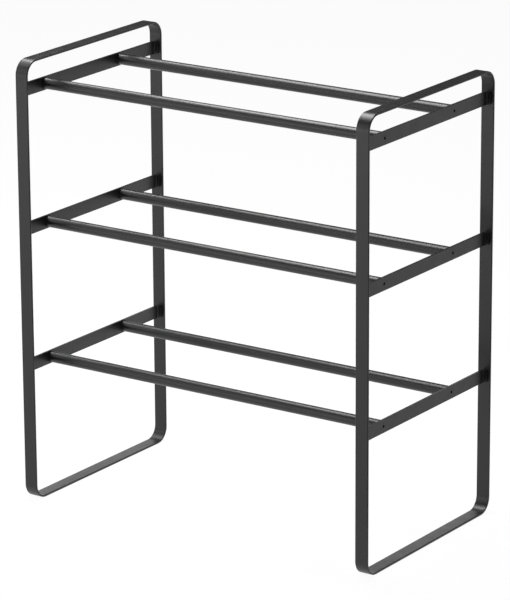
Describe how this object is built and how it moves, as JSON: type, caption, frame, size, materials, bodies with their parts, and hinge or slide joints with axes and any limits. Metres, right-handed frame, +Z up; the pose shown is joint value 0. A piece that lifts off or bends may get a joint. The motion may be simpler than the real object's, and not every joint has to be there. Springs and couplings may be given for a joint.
{
  "type": "tiered shoe rack",
  "caption": "Open shoe rack with tiers of paired round tubes between flat-bar side hoops, in black powder-coated steel.",
  "frame": {"origin": "on the floor, midway between the side frames and midway front to rear", "axes": "+X runs along the tubes to the right, +Y runs to the rear, +Z is up"},
  "size_m": [0.58, 0.32, 0.642],
  "materials": {
    "frame_coat": "fine-textured matte black powder coat over steel flat bar",
    "tube_coat": "smooth satin black powder coat over steel tube",
    "screw_steel": "black oxide steel, satin",
    "plug_steel": "zinc-plated steel, dull, out of sight inside the tubes"
  },
  "bodies": {
    "root": {"left_hoop": "frame_coat", "left_rail_bottom": "frame_coat", "left_rail_middle": "frame_coat", "left_rail_top": "frame_coat", "right_hoop": "frame_coat", "right_rail_bottom": "frame_coat", "right_rail_middle": "frame_coat", "right_rail_top": "frame_coat", "tube_bottom_front": "tube_coat", "tube_bottom_rear": "tube_coat", "tube_middle_front": "tube_coat", "tube_middle_rear": "tube_coat", "tube_top_front": "tube_coat", "tube_top_rear": "tube_coat", "left_plug_bottom_front": "plug_steel", "left_plug_bottom_rear": "plug_steel", "left_plug_middle_front": "plug_steel", "left_plug_middle_rear": "plug_steel", "left_plug_top_front": "plug_steel", "left_plug_top_rear": "plug_steel", "right_plug_bottom_front": "plug_steel", "right_plug_bottom_rear": "plug_steel", "right_plug_middle_front": "plug_steel", "right_plug_middle_rear": "plug_steel", "right_plug_top_front": "plug_steel", "right_plug_top_rear": "plug_steel", "left_screws": "screw_steel", "right_screws": "screw_steel"}
  },
  "joints": []
}
